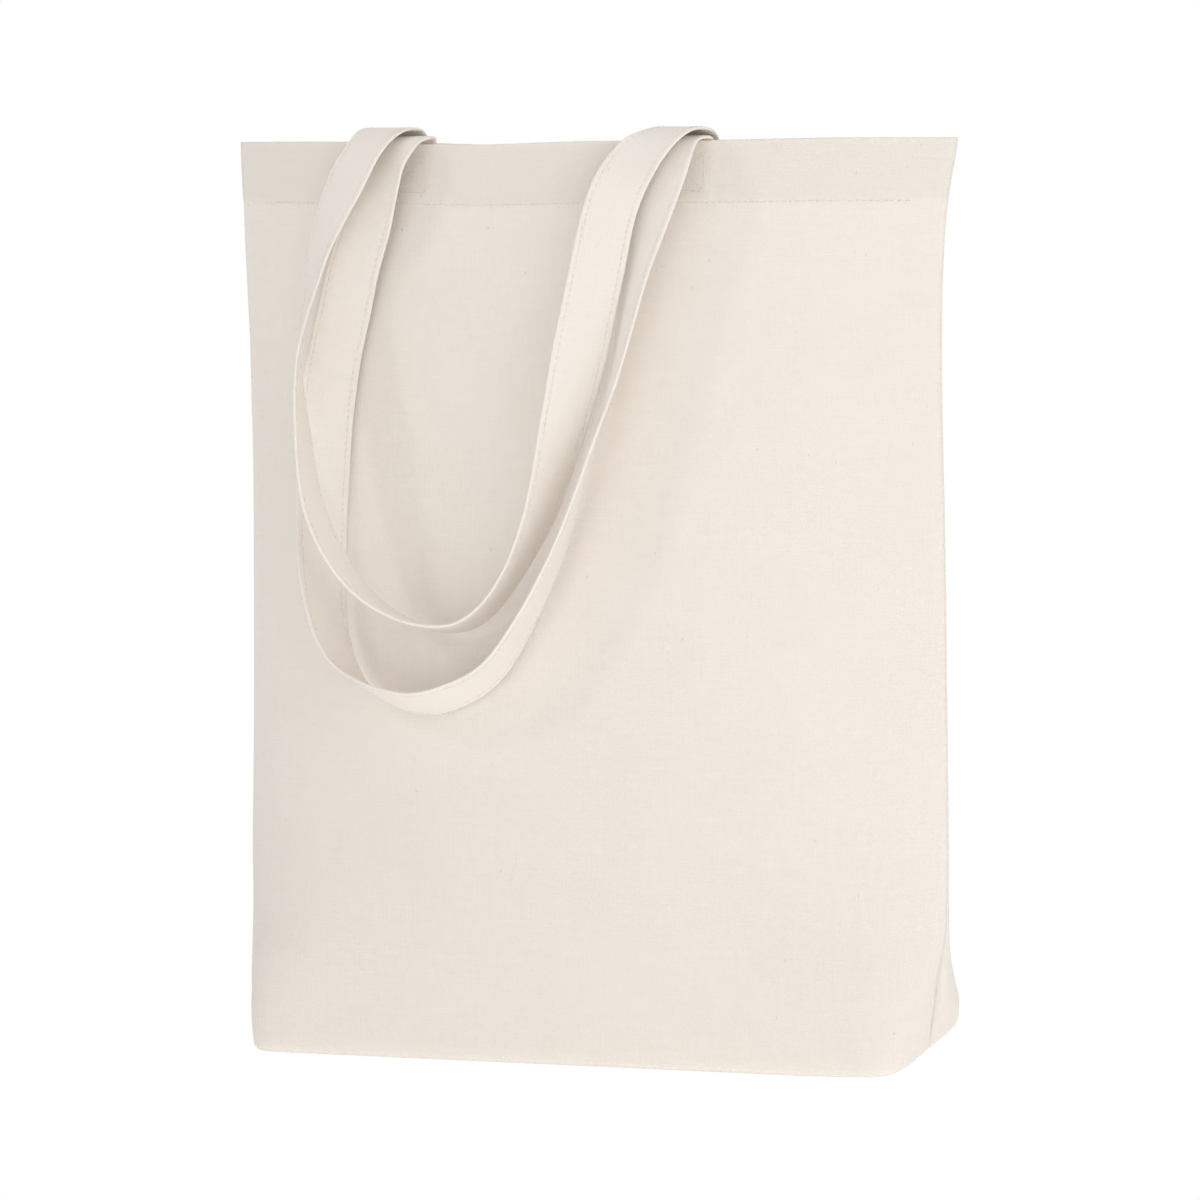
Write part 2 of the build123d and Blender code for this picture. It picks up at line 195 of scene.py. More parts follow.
def thick_sheet(name, grid, thickness, uv, wear, painted_shade, ring=False):
    """A closed cloth sheet round a grid of points, or a ring of them: both faces and the rim."""
    rows, cols = grid.shape[:2]
    if ring:
        closed = np.concatenate([grid[:, -1:], grid, grid[:, :1]], axis=1)
        normal = grid_normals(closed)[:, 1:-1]
    else:
        normal = grid_normals(grid)
    top = grid + normal * thickness / 2
    low = grid - normal * thickness / 2
    verts = np.concatenate([top.reshape(-1, 3), low.reshape(-1, 3)]) * MM
    size = rows * cols
    faces = []
    for r in range(rows - 1):
        for c in range(cols if ring else cols - 1):
            a, b = r * cols + c, r * cols + (c + 1) % cols
            faces.append((a, b, b + cols, a + cols))
            faces.append((size + a + cols, size + b + cols, size + b, size + a))
    first = list(range(cols))
    last = list(range((rows - 1) * cols, rows * cols))[::-1]
    if ring:
        rims = [first, last]
    else:
        right = [r * cols + cols - 1 for r in range(1, rows - 1)]
        left = [r * cols for r in range(rows - 2, 0, -1)]
        rims = [first + right + last + left]
    for ids in rims:
        for a, b in zip(ids, ids[1:] + ids[:1]):
            faces.append((b, a, size + a, size + b))
    obj = new_object(name, verts, faces)
    add_weave_map(obj, np.concatenate([uv.reshape(-1, 2)] * 2) * MM)
    for tone_name, tone in (("wear", wear), ("painted_shade", painted_shade)):
        add_tone(obj, tone_name, np.concatenate([tone.reshape(-1)] * 2))
    return obj


# Soft dents and swells: centre x, height, spread in x, spread in z, and how far they stand out.
SWELLS = {
    FRONT: (
        (-62.0, 268.0, 46.0, 72.0, -2.6),
        (-8.0, 300.0, 26.0, 60.0, -1.0),
        (44.0, 262.0, 30.0, 95.0, 0.9),
        (92.0, 350.0, 34.0, 50.0, -1.0),
        (118.0, 230.0, 50.0, 80.0, 0.8),
        (-128.0, 250.0, 26.0, 110.0, -1.1),
        (20.0, 110.0, 80.0, 50.0, 0.9),
        (-96.0, 92.0, 60.0, 46.0, -0.7),
        (120.0, 74.0, 42.0, 40.0, -0.8),
    ),
    BACK: (
        (60.0, 280.0, 40.0, 80.0, -1.8),
        (-70.0, 240.0, 48.0, 90.0, 1.2),
        (10.0, 150.0, 60.0, 60.0, -1.1),
        (-120.0, 120.0, 40.0, 60.0, -0.9),
        (120.0, 150.0, 44.0, 70.0, 1.0),
    ),
}
WAVE_PHASE = {FRONT: 0.0, BACK: 2.0}
HEM_STEP, HEM_GROOVE, HEM_PUCKER = 0.2, 0.14, 0.13
END_SHOW, SIDE_GATHER = 0.45, 0.2


def panel_relief(face, x, z, width):
    """How far the cloth stands out from its plain shape, in millimetres."""
    relief = np.zeros_like(x)
    for centre_x, centre_z, spread_x, spread_z, rise in SWELLS[face]:
        relief += rise * hump(x, centre_x, spread_x) * hump(z, centre_z, spread_z)
    # Faint waves that share no period, so that they don't show as a pattern.
    phase = WAVE_PHASE[face]
    relief += 0.35 * np.sin(x / 31.0 + 1.3 + phase) * np.sin(z / 57.0 + 0.4)
    relief += 0.22 * np.sin(x / 17.0 - z / 61.0 + phase)
    relief += 0.16 * np.sin(z / 23.0 + x / 83.0 + 2.0 * phase)
    from_edge = width - np.abs(x)
    off_edge = smoothstep(0.0, 26.0, from_edge)
    relief *= off_edge * smoothstep(0.0, 60.0, z) * (1 - 0.75 * smoothstep(370.0, 400.0, z))
    # The hem is a doubled band, drawn in along its stitching.
    line = z - HEM_STITCH_HEIGHT
    relief += HEM_STEP * smoothstep(-3.0, 4.0, line)
    relief -= HEM_GROOVE * hump(line, 0.0, 1.7)
    pucker = np.sin(x / 1.9 + 1.7 * np.sin(x / 37.0)) * np.sin(x / 6.3 + 0.8)
    relief += HEM_PUCKER * pucker * hump(line, 0.0, 7.0) * off_edge
    # The sewn ends of the handles show through the hem.
    for end_x in END_X.values():
        under = smoothstep(14.2, 12.4, np.abs(x - end_x)) * smoothstep(391.5, 394.0, z)
        relief += END_SHOW * under
    # Small gathers beside the side seams.
    gather = np.sin(z / 5.3 + 1.4 * np.sin(z / 31.0)) * smoothstep(0, 12, from_edge)
    relief += SIDE_GATHER * np.exp(-from_edge / 9.0) * gather
    return relief


# How far each side edge is drawn along x by the way the bag stands: height and shift.
LEFT_DRAW = np.array([
    (0, 1.5), (20, 2.0), (40, 1.6), (60, 0.8), (90, 0.0), (150, 0.8), (230, 1.0), (300, 1.0),
    (330, 1.5), (365, 0.8), (390, 0.0), (406, -1.0), (420, -1.6),
])
RIGHT_DRAW = np.array([
    (0, 2.6), (20, 1.6), (40, 0.8), (75, 0.8), (130, 0.2), (170, -0.4), (215, -1.0),
    (260, -2.3), (283, -3.3), (305, -4.7), (328, -5.9), (351, -6.8), (374, -6.4),
    (388, -5.2), (397, -3.8), (406, -2.1), (415, -0.2), (420, 0.3),
])
# How far the far right corner of the base is lifted, and pushed out along x and y.
CORNER_LIFT, CORNER_OUT_X, CORNER_OUT_Y = 22.0, 1.2, 5.0


def settle(points):
    """The way the filled-out cloth stands: drawn edges, a slack mouth, a lifted far corner."""
    x, y, z = points[..., 0], points[..., 1], points[..., 2]
    corner = smoothstep(118.0, 168.0, x) * np.clip((y + 30.0) / 57.0, 0.0, 1.0)
    low = np.clip(1 - z / 105.0, 0.0, 1.0) ** 1.6
    flare = np.exp(-((np.abs(z) / 37.0) ** 3))
    slack = 1.2 * smoothstep(60.0, 150.0, x) - 1.7 * hump(x, -45.0, 45.0)
    out = points.copy()
    out[..., 0] += CORNER_OUT_X * corner * flare
    out[..., 0] += smoothstep(40.0, 175.0, -x) * np.interp(z, *LEFT_DRAW.T)
    out[..., 0] += smoothstep(40.0, 175.0, x) * np.interp(z, *RIGHT_DRAW.T)
    out[..., 1] += CORNER_OUT_Y * corner * flare
    out[..., 2] += CORNER_LIFT * corner * low + slack * smoothstep(340.0, 420.0, z)
    return out


PANEL_COLUMNS = 190
BASE_ROUND = 3.2  # radius of the fold from a panel into the base


def panel_rows():
    """Heights of a panel's rows with the inset of the base edge and the cloth's offset."""
    rows = []
    for angle in np.linspace(0, math.pi / 2, 7)[:-1]:
        z = CLOTH / 2 + BASE_ROUND * (1 - math.cos(angle))
        rows.append((z, BASE_ROUND * (1 - math.sin(angle)), CLOTH / 2))
    body = np.concatenate([
        np.linspace(5.0, 90.0, 30)[:-1],
        np.linspace(90.0, 376.0, 62)[:-1],
        np.linspace(376.0, 398.0, 23)[:-1],
        np.linspace(398.0, 418.6, 10),
    ])
    rows += [(z, 0.0, CLOTH / 2) for z in body]
    # The hem turns over at the mouth and runs down inside.
    fold_radius = (CLOTH + PLY_GAP) / 2
    middle = CLOTH / 2 - fold_radius
    fold_height = HEIGHT - CLOTH / 2 - fold_radius
    for angle in np.linspace(0, math.pi, 7):
        rows.append((
            fold_height + fold_radius * math.sin(angle),
            0.0,
            middle + fold_radius * math.cos(angle),
        ))
    inside = -PLY_GAP - CLOTH / 2
    rows += [(z, 0.0, inside) for z in np.linspace(418.0, HEIGHT - HEM_DEPTH, 14)]
    return rows


ALLOWANCE_SINK = 0.16  # how far a seam allowance draws in, for each millimetre of offset


def seam_allowance(face, side, width, z, offset):
    """The cloth turns in at a side seam and runs back inside, from the seam inwards."""
    sink = ALLOWANCE_SINK * (CLOTH / 2 - offset)
    steps = (
        (width + 0.30, 0.80),
        (width + 0.10, 0.60),
        (width - 0.9, 0.52),
        (width - 3.0, 0.52 + 0.05 * math.sin(z / 9.0)),
        (width - 6.0, 0.60 + 0.12 * math.sin(z / 7.0 + 1.0)),
        (width - SEAM_WIDTH, 0.72 + 0.22 * math.sin(z / 6.1)),
    )
    return np.array([(side * (x - sink), face * (y + sink)) for x, y in steps])


# Low on the right the seam is drawn in between the two panels, and the crease is given painted
# shade.
CREASE_HEIGHT, CREASE_SPREAD, CREASE_DEPTH, CREASE_REACH = 30.0, 19.0, 4.6, 1.8
CREASE_PAINTED_SHADE, CREASE_PAINTED_SHADE_REACH = 3.2, 1.1


def panel_mesh(name, face):
    grid, uv, wear, painted_shade = [], [], [], []
    run_v = 0.0
    before = None
    for z, inset, offset in panel_rows():
        row = section(z)
        curve = panel_curve(row, face, PANEL_COLUMNS, inset)
        width = row[0] - inset
        distance = offset + panel_relief(face, curve[:, 0], np.full(len(curve), z), width)
        along = np.gradient(curve, axis=0)
        along /= np.linalg.norm(along, axis=1)[:, None]
        outward = np.stack([-face * along[:, 1], face * along[:, 0]], axis=1)
        points = np.concatenate([
            seam_allowance(face, LEFT, width, z, offset)[::-1],
            curve + outward * distance[:, None],
            seam_allowance(face, RIGHT, width, z, offset),
        ])
        crease = hump(z, CREASE_HEIGHT, CREASE_SPREAD)
        on_right = points[:, 0] > 0
        from_seam = np.abs(points[on_right, 1])
        points[on_right, 0] -= CREASE_DEPTH * crease * np.exp(-from_seam / CREASE_REACH)
        run_u = np.concatenate([[0], np.cumsum(np.hypot(*np.diff(points, axis=0).T))])
        row_points = settle(np.column_stack([points, np.full(len(points), z)]))
        if before is not None:
            run_v += float(np.median(np.linalg.norm(row_points - before, axis=1)))
        before = row_points
        grid.append(row_points)
        uv.append(np.column_stack([run_u - run_u[-1] / 2, np.full(len(points), run_v)]))
        fold_wear = max(hump(z, HEIGHT, 2.2), 0.6 * hump(z, 2.0, 4.0))
        edge_wear = 0.7 * np.exp(-(np.abs(np.abs(points[:, 0]) - width) / 1.6))
        edge_wear[on_right] *= 1 - crease
        wear.append(np.maximum(fold_wear, edge_wear))
        # Painted shade: the hem band and the crease low on the right are darkened in colour
        # through this tone.
        hem_and_crease_shade = np.full(len(points), smoothstep(-1.6, 2.4, z - HEM_STITCH_HEIGHT))
        hem_and_crease_shade[on_right] += CREASE_PAINTED_SHADE * crease * np.exp(-from_seam / CREASE_PAINTED_SHADE_REACH)
        painted_shade.append(hem_and_crease_shade)
    grid, uv, wear, painted_shade = (np.array(rows) for rows in (grid, uv, wear, painted_shade))
    if face == BACK:
        grid, uv, wear, painted_shade = (rows[:, ::-1] for rows in (grid, uv, wear, painted_shade))
    return thick_sheet(name, grid, CLOTH, uv, wear, painted_shade)


BASE_COLUMNS = 90
BASE_CLOTH = 0.7
BASE_HEIGHT = 0.55
BASE_TURN_UP, BASE_TURN_INSET = 9.2, 1.4
SPINE_SETBACK = 34.0  # how far the base's middle line ends from the sides


def base_ring(z, inset):
    """Points round the base at a height: along the front, then back along the back."""
    row = section(z)
    front = panel_curve(row, FRONT, BASE_COLUMNS, inset)
    back = panel_curve(row, BACK, BASE_COLUMNS, inset)
    return np.concatenate([front, back[::-1]])


def base_mesh():
    """The base cloth, with its edge turned up inside as a seam allowance."""
    ring = base_ring(0.0, BASE_ROUND + 0.6)
    ring_up = base_ring(SEAM_WIDTH, BASE_TURN_INSET)
    spine_half = section(0.0)[0] - SPINE_SETBACK
    spine = np.zeros_like(ring)
    spine[:, 0] = np.clip(ring[:, 0], -spine_half, spine_half)
    levels = []
    for share in np.linspace(0.012, 0.97, 22):
        flat = spine + (ring - spine) * share
        sag = 0.45 * np.sin(flat[:, 0] / 23.0) * np.sin(flat[:, 1] / 15.0 + 0.6)
        z = BASE_HEIGHT + np.maximum(0.0, 0.35 + sag) * (1 - share ** 4)
        levels.append(np.column_stack([flat, z]))
    for rise in np.linspace(0, 1, 9):
        flat = ring + (ring_up - ring) * smoothstep(0.0, 0.35, rise)
        z = np.full(len(ring), BASE_HEIGHT + BASE_TURN_UP * rise ** 1.2)
        points = np.column_stack([flat, z])
        wave = 0.25 * np.sin(np.arange(len(ring)) * 0.9) * rise
        points[:, 1] += np.sign(points[:, 1]) * -np.abs(wave)
        levels.append(points)
    grid = np.array([settle(points) for points in levels])
    uv = np.array([
        points[:, :2] + np.sign(points[:, :2]) * (points[:, 2:3] * 0.7) for points in levels
    ])
    plain = np.zeros(grid.shape[:2])
    return thick_sheet("base_cloth", grid, BASE_CLOTH, uv, plain, plain, ring=True)


front_cloth = panel_mesh("front_cloth", FRONT)
back_cloth = panel_mesh("back_cloth", BACK)
base_cloth = base_mesh()

# Routes of the handles. Each point is the side whose sewn end it is measured from, its
# shift in x, its gap to the front panel, its drop below the mouth, its turn and its lean.
FRONT_ROUTE = (
    (LEFT, -1.5, 6.5, 0.8, -10, 0),
    (LEFT, -6, 7.5, 9.5, -20, 0),
    (LEFT, -13.5, 8, 22, -10, 0),
    (LEFT, -20.3, 8.5, 38, 2, 0),
    (LEFT, -27.8, 7, 58, 12, 0),
    (LEFT, -33.3, 5.2, 76, 18, 0),
    (LEFT, -42.5, 3.5, 111, 28, 0),
    (LEFT, -45.5, 2.5, 162, 46, 0),
    (LEFT, -41.8, 3, 211, 70, 0),
    (LEFT, -33, 3, 235, 85, -0.1),
    (LEFT, -18.5, 3.5, 248.5, 91, -0.36),
    (LEFT, 12.5, 3.5, 256.5, 94, -0.46),
    (LEFT, 37.5, 3.5, 250, 96, -0.4),
    (LEFT, 54.5, 3.5, 239, 98, -0.26),
    (RIGHT, -71, 3.7, 212, 101, -0.1),
    (RIGHT, -55, 3.9, 182, 106, 0),
    (RIGHT, -45.5, 4.4, 158, 113, 0),
    (RIGHT, -39.5, 3.4, 138, 119, 0),
    (RIGHT, -29, 3, 108, 126, 0),
    (RIGHT, -17.5, 5, 55, 150, 0),
    (RIGHT, -6.2, 9.5, 22, 167, 0),
    (RIGHT, -1.9, 11.5, 9, 174, 0),
    (RIGHT, -0.5, 9, 0.5, 178, 0),
)
OVER = 21.0  # gap where the back handle lies over the front one
BACK_SLANT = {LEFT: -8.0, RIGHT: 0.0}
BACK_ROUTE = (
    (LEFT, -8, -3, -4.8, 2, 0),
    (LEFT, -11, 9.5, -4.7, 4, 0),
    (LEFT, -13.8, 16.5, 2.5, 14, 0),
    (LEFT, -18.8, 18.2, 12, 19, 0),
    (LEFT, -28.7, 15.8, 25, 26, 0),
    (LEFT, -41, 12, 45, 35, 0),
    (LEFT, -46, 11.5, 66, 47, 0),
    (LEFT, -47.5, 15.5, 84, 56, 0),
    (LEFT, -46, OVER, 104, 64, 0),
    (LEFT, -41.5, OVER + 2, 133, 74, 0),
    (LEFT, -33.5, OVER + 3, 167, 82, 0),
    (LEFT, -20.5, OVER - 1, 193, 82, 0),
    (LEFT, -6.5, 10, 211, 76, 0),
    (LEFT, 13.5, 5, 220.5, 70, 0.06),
    (LEFT, 33.5, 4, 221.5, 67, 0.16),
    (RIGHT, -98.5, 4, 216, 72, 0.2),
    (RIGHT, -83.5, 4, 201, 79, 0.12),
    (RIGHT, -66.5, 4.5, 172, 95, 0.04),
    (RIGHT, -56, 6.5, 143, 112, 0),
    (RIGHT, -46, 9.5, 108, 134, 0),
    (RIGHT, -36, 12, 66, 152, 0),
    (RIGHT, -26.2, 14, 25, 170, 0),
    (RIGHT, -16.9, 14.8, 10, 184, 0),
    (RIGHT, -8.7, 13.2, 2, 190, 0),
    (RIGHT, -2.7, 8, -4.8, 189, 0),
    (RIGHT, 0.1, -3, -5.1, 184, 0),
)


def route_points(route):
    """Centre, turn and lean of the strap at each point of a route."""
    points = []
    for side, shift, gap, drop, turn, lean in route:
        x = END_X[side] + shift
        z = HEIGHT - drop
        across, through = abs(math.sin(math.radians(turn))), abs(math.cos(math.radians(turn)))
        reach = STRAP_WIDTH * across + 2 * STRAP_HALF_THICKNESS * through
        panel_y = -float(inner_reach(section(z), FRONT, x)) - CLOTH
        points.append((x, panel_y - gap - reach / 2, z, turn, lean))
    return points


def end_depth(face, side):
    reach = float(inner_reach(section(HEIGHT), face, END_X[side]))
    return face * (reach - 2 * PLY_GAP - CLOTH - STRAP_HALF_THICKNESS)


def front_ends(side):
    """From the foot of a sewn end inside the front hem up to the mouth."""
    y = end_depth(FRONT, side)
    turn = -7.5 if side == LEFT else 187.0
    rest = 0.0 if side == LEFT else 180.0
    x = END_X[side]
    return [
        (x, y, END_LOW, turn, 0),
        (x, y, 402.0, turn, 0),
        (x, y, 411.0, turn, 0),
        (x, y, 416.6, turn, 0),
        (x, y - 0.1, 419.2, turn, 0),
        (x, y - 1.3, 421.0, (turn + rest) / 2, 0),
        (x, y - 3.6, 421.5, rest, 0),
    ]


def back_ends(side):
    """From the foot of a sewn end inside the back hem, and slack across the mouth."""
    y = end_depth(BACK, side)
    turn = 0.0 if side == LEFT else 180.0
    x = END_X[side]
    slant = BACK_SLANT[side]
    return [
        (x, y, END_LOW, turn, 0),
        (x, y, 401.0, turn, 0),
        (x, y, 407.0, turn, 0),
        (x, y - 0.5, 411.6, turn, 0),
        (x + 0.04 * slant, y - 3.0, 414.4, turn, 0),
        (x + 0.25 * slant, y - 8.0, 415.6, turn, 0),
        (x + 0.52 * slant, y - 15.0, 416.0, turn, 0),
        (x + 0.77 * slant, y - 20.6, 417.0, turn, 0),
        (x + 0.86 * slant, y - 23.2, 419.2, turn, 0),
        (x + 0.92 * slant, y - 24.9, 422.0, turn, 0),
    ]


STATION_STEP = 1.6


def spline(points):
    """A smooth curve through the points, sampled at short even steps."""
    points = np.array(points, float)
    padded = np.vstack([2 * points[0] - points[1], points, 2 * points[-1] - points[-2]])
    found = [points[0]]
    for p0, p1, p2, p3 in zip(padded, padded[1:], padded[2:], padded[3:]):
        knots = np.cumsum([0.0] + [
            math.sqrt(max(np.linalg.norm(b[:3] - a[:3]), 1e-6))
            for a, b in ((p0, p1), (p1, p2), (p2, p3))
        ])
        count = max(2, int(np.linalg.norm(p2[:3] - p1[:3]) / STATION_STEP))
        for t in np.linspace(knots[1], knots[2], count + 1)[1:]:
            a1 = p0 + (p1 - p0) * (t - knots[0]) / (knots[1] - knots[0])
            a2 = p1 + (p2 - p1) * (t - knots[1]) / (knots[2] - knots[1])
            a3 = p2 + (p3 - p2) * (t - knots[2]) / (knots[3] - knots[2])
            b1 = a1 + (a2 - a1) * (t - knots[0]) / (knots[2] - knots[0])
            b2 = a2 + (a3 - a2) * (t - knots[1]) / (knots[3] - knots[1])
            found.append(b1 + (b2 - b1) * (t - knots[1]) / (knots[2] - knots[1]))
    found = np.array(found)
    lengths = np.linalg.norm(np.diff(found[:, :3], axis=0), axis=1)
    run = np.concatenate([[0], np.cumsum(lengths)])
    at = np.linspace(0, run[-1], int(run[-1] / STATION_STEP) + 1)
    columns = [np.interp(at, run, found[:, k]) for k in range(found.shape[1])]
    return np.stack(columns, axis=1), at


EASE_SPREAD, EASE_KEEP = 6.0, 40.0


def eased(values, at):
    """Values smoothed along the run, hardly at all near both ends."""
    out = values.copy()
    for i, here in enumerate(at):
        from_end = min(here, at[-1] - here)
        width = EASE_SPREAD * float(smoothstep(EASE_KEEP, EASE_KEEP + 30.0, from_end)) + 0.4
        near = np.abs(at - here) < 3 * width
        weight = hump(at[near], here, width)
        out[i] = (values[near] * weight[:, None]).sum(axis=0) / weight.sum()
    return out


def strap_frames(points, face):
    """Centre, width direction and facing direction along a strap, with the run."""
    stations, at = spline(points)
    stations = eased(stations, at)
    twist = 1 if face == FRONT else -1
    centre = stations[:, :3]
    along = np.gradient(centre, axis=0)
    along /= np.linalg.norm(along, axis=1)[:, None]
    angle = np.radians(stations[:, 3])
    across = np.stack([np.cos(angle), twist * np.sin(angle), stations[:, 4]], axis=1)
    # Near its ends the cloth of the strap shears a little as it swings to the side.
    square = 0.45 + 0.55 * smoothstep(45.0, 90.0, np.minimum(at, at[-1] - at))
    across -= along * ((across * along).sum(axis=1) * square)[:, None]
    across /= np.linalg.norm(across, axis=1)[:, None]
    facing = np.cross(along, across)
    facing /= np.linalg.norm(facing, axis=1)[:, None]
    return centre, across, facing, at


HALF = STRAP_WIDTH / 2
STITCH_LINE = HALF - 2.6
# Half profile of the strap: distance from its middle and half thickness, edge to middle.
PROFILE = np.array([
    (HALF, 0.0),
    (HALF - 0.08, 0.28),
    (HALF - 0.28, 0.5),
    (HALF - 0.65, 0.64),
    (HALF - 1.25, 0.7),
    (HALF - 1.9, 0.67),
    (STITCH_LINE + 0.3, 0.6),
    (STITCH_LINE, 0.55),
    (STITCH_LINE - 0.3, 0.6),
    (STITCH_LINE - 1.0, 0.68),
    (STITCH_LINE - 2.4, 0.74),
    (4.0, 0.75),
])
WAVE_SEED = {FRONT: 1.0, BACK: 4.0}
STRAP_PUCKER = 0.07


def strap_mesh(name, face, frames):
    centre, across, facing, at = frames
    right = PROFILE
    left = PROFILE[::-1] * (-1, 1)
    top = np.vstack([right, left])
    low = np.vstack([left[::-1][1:], right[::-1][:-1]]) * (1, -1)
    ring = np.vstack([top, low])
    count, size = len(centre), len(ring)
    seed = WAVE_SEED[face]
    edge_wave = 0.22 * np.sin(at / 8.3 + seed) * np.sin(at / 27.0 + 2 * seed)
    face_wave = 0.16 * np.sin(at / 12.7 + 3 * seed) + 0.1 * np.sin(at / 4.9 + seed)
    verts, uv, wear = [], [], []
    for i in range(count):
        for s, t in ring:
            on_line = hump(abs(s), STITCH_LINE, 1.6)
            pucker = STRAP_PUCKER * math.sin(at[i] / 0.95 + s) * on_line
            side = s + edge_wave[i] * (s / HALF)
            out = t * (1 + pucker) + face_wave[i] * (1 - (s / HALF) ** 2) * 0.6
            verts.append((centre[i] + across[i] * side + facing[i] * out) * MM)
            uv.append((s * MM, at[i] * MM))
            wear.append(hump(abs(s), HALF, 0.9))
    faces = []
    for i in range(count - 1):
        for k in range(size):
            j = (k + 1) % size
            a, b = i * size, (i + 1) * size
            faces.append((a + k, b + k, b + j, a + j))
    faces.append(tuple(range(size)))
    faces.append(tuple(reversed(range((count - 1) * size, count * size))))
    obj = new_object(name, verts, faces)
    add_weave_map(obj, uv)
    add_tone(obj, "wear", wear)
    return obj


# Shape of a stitch: share of its length, share of its radius, and lift in radii.
STITCH_SHAPE = (
    (0.0, 0.25, -0.35),
    (0.14, 0.8, 0.0),
    (0.5, 1.0, 0.35),
    (0.86, 0.8, 0.0),
    (1.0, 0.25, -0.35),
)
STITCH_SIDES = 6
STITCH_FLATNESS = 0.8
STITCH_PITCH, STITCH_LENGTH = 3.1, 2.5
TACK_PITCH, TACK_LENGTH = 2.9, 2.3
THREAD_RADIUS, HEM_THREAD_RADIUS = 0.3, 0.32


def stitch_mesh(name, stitches, radius):
    """A row of separate stitches, each from one point to another, standing on a face."""
    verts, faces, uv = [], [], []
    for start, end, up in stitches:
        start, end, up = np.array(start), np.array(end), np.array(up)
        along = end - start
        length = np.linalg.norm(along)
        along = along / length
        side = np.cross(up, along)
        side /= np.linalg.norm(side)
        up = np.cross(along, side)
        base = len(verts)
        for share, swell, lift in STITCH_SHAPE:
            middle = start + along * length * share + up * lift * radius
            for k in range(STITCH_SIDES):
                angle = 2 * math.pi * k / STITCH_SIDES
                spoke = side * math.cos(angle) + up * math.sin(angle) * STITCH_FLATNESS
                verts.append((middle + spoke * radius * swell) * MM)
                uv.append((k * 0.3 * MM, share * length * MM))
        for r in range(len(STITCH_SHAPE) - 1):
            for k in range(STITCH_SIDES):
                j = (k + 1) % STITCH_SIDES
                a, b = base + r * STITCH_SIDES, base + (r + 1) * STITCH_SIDES
                faces.append((a + k, a + j, b + j, b + k))
        faces.append(tuple(base + k for k in reversed(range(STITCH_SIDES))))
        top = base + (len(STITCH_SHAPE) - 1) * STITCH_SIDES
        faces.append(tuple(top + k for k in range(STITCH_SIDES)))
    obj = new_object(name, verts, faces)
    add_weave_map(obj, uv)
    return obj


STITCH_SEAT = 0.58  # distance of a stitch's middle line from the strap's middle


def strap_stitches(frames):
    """Stitches along both edges of a strap, on both of its faces."""
    centre, across, facing, at = frames
    found = []

    def place(where, s, sign):
        spot, wide, up = (
            np.array([np.interp(where, at, values[:, k]) for k in range(3)])
            for values in (centre, across, facing)
        )
        up = up * sign
        return spot + wide * s + up * STITCH_SEAT, up

    for s in (-STITCH_LINE, STITCH_LINE):
        for sign in (1, -1):
            for start in np.arange(2.0, at[-1] - 4.0, STITCH_PITCH):
                low, up = place(start, s, sign)
                high, _ = place(start + STITCH_LENGTH, s, sign)
                found.append((low, high, up))
    return found


front_path = front_ends(LEFT) + route_points(FRONT_ROUTE) + front_ends(RIGHT)[::-1]
back_path = back_ends(LEFT) + route_points(BACK_ROUTE) + back_ends(RIGHT)[::-1]
front_frames = strap_frames(front_path, FRONT)
back_frames = strap_frames(back_path, BACK)
front_strap = strap_mesh("front_strap", FRONT, front_frames)
back_strap = strap_mesh("back_strap", BACK, back_frames)
front_strap_stitches = stitch_mesh(
    "front_strap_stitches", strap_stitches(front_frames), THREAD_RADIUS
)
back_strap_stitches = stitch_mesh(
    "back_strap_stitches", strap_stitches(back_frames), THREAD_RADIUS
)


def panel_spot(face, x, z, lift):
    """A point on a panel's outer face near the mouth, and the way out from it."""
    row = section(z)
    xs = np.array([x - 1.0, x, x + 1.0])
    ys = face * inner_reach(row, face, xs)
    relief = float(panel_relief(face, np.array([x]), np.array([z]), row[0])[0])
    along = np.array([xs[2] - xs[0], ys[2] - ys[0]])
    along /= np.linalg.norm(along)
    out = np.array([-face * along[1], face * along[0]])
    spot = np.array([x, ys[1]]) + out * (CLOTH + relief + lift)
    return settle(np.array([spot[0], spot[1], z])), np.array([out[0], out[1], 0.0])


def line_stitches(face, start, end, lift, pitch, length):
    """Stitches along a straight line on a panel, from one x and height to another."""
    found = []
    total = math.dist(start, end)
    for at in np.arange(0.3, total - length + 0.5, pitch):
        ends = []
        for run in (at, at + length):
            x = start[0] + (end[0] - start[0]) * run / total
            z = start[1] + (end[1] - start[1]) * run / total
            ends.append(panel_spot(face, x, z, lift))
        found.append((ends[0][0], ends[1][0], ends[0][1]))
    return found


HEM_STITCH_HALF_RUN, HEM_STITCH_LIFT = 172.0, 0.08
TACK_HALF_WIDTH, TACK_LOW, TACK_HIGH = 9.0, 397.0, 414.0
TACK_LIFTS = (0.03, -CLOTH - 2.85)  # on the panel, and inside on the handle's sewn end


def hem_stitches(face):
    ends = [(x, HEM_STITCH_HEIGHT) for x in (-HEM_STITCH_HALF_RUN, HEM_STITCH_HALF_RUN)]
    return line_stitches(face, *ends, HEM_STITCH_LIFT, STITCH_PITCH, STITCH_LENGTH)


def tack_stitches(face, side):
    """A box with a cross in it, through the hem and the handle's sewn end."""
    x0, x1 = END_X[side] - TACK_HALF_WIDTH, END_X[side] + TACK_HALF_WIDTH
    corners = ((x0, TACK_LOW), (x1, TACK_LOW), (x1, TACK_HIGH), (x0, TACK_HIGH))
    found = []
    for lift in TACK_LIFTS:
        for a, b in ((0, 1), (1, 2), (2, 3), (3, 0), (0, 2), (1, 3)):
            found += line_stitches(
                face, corners[a], corners[b], lift, TACK_PITCH, TACK_LENGTH
            )
    return found


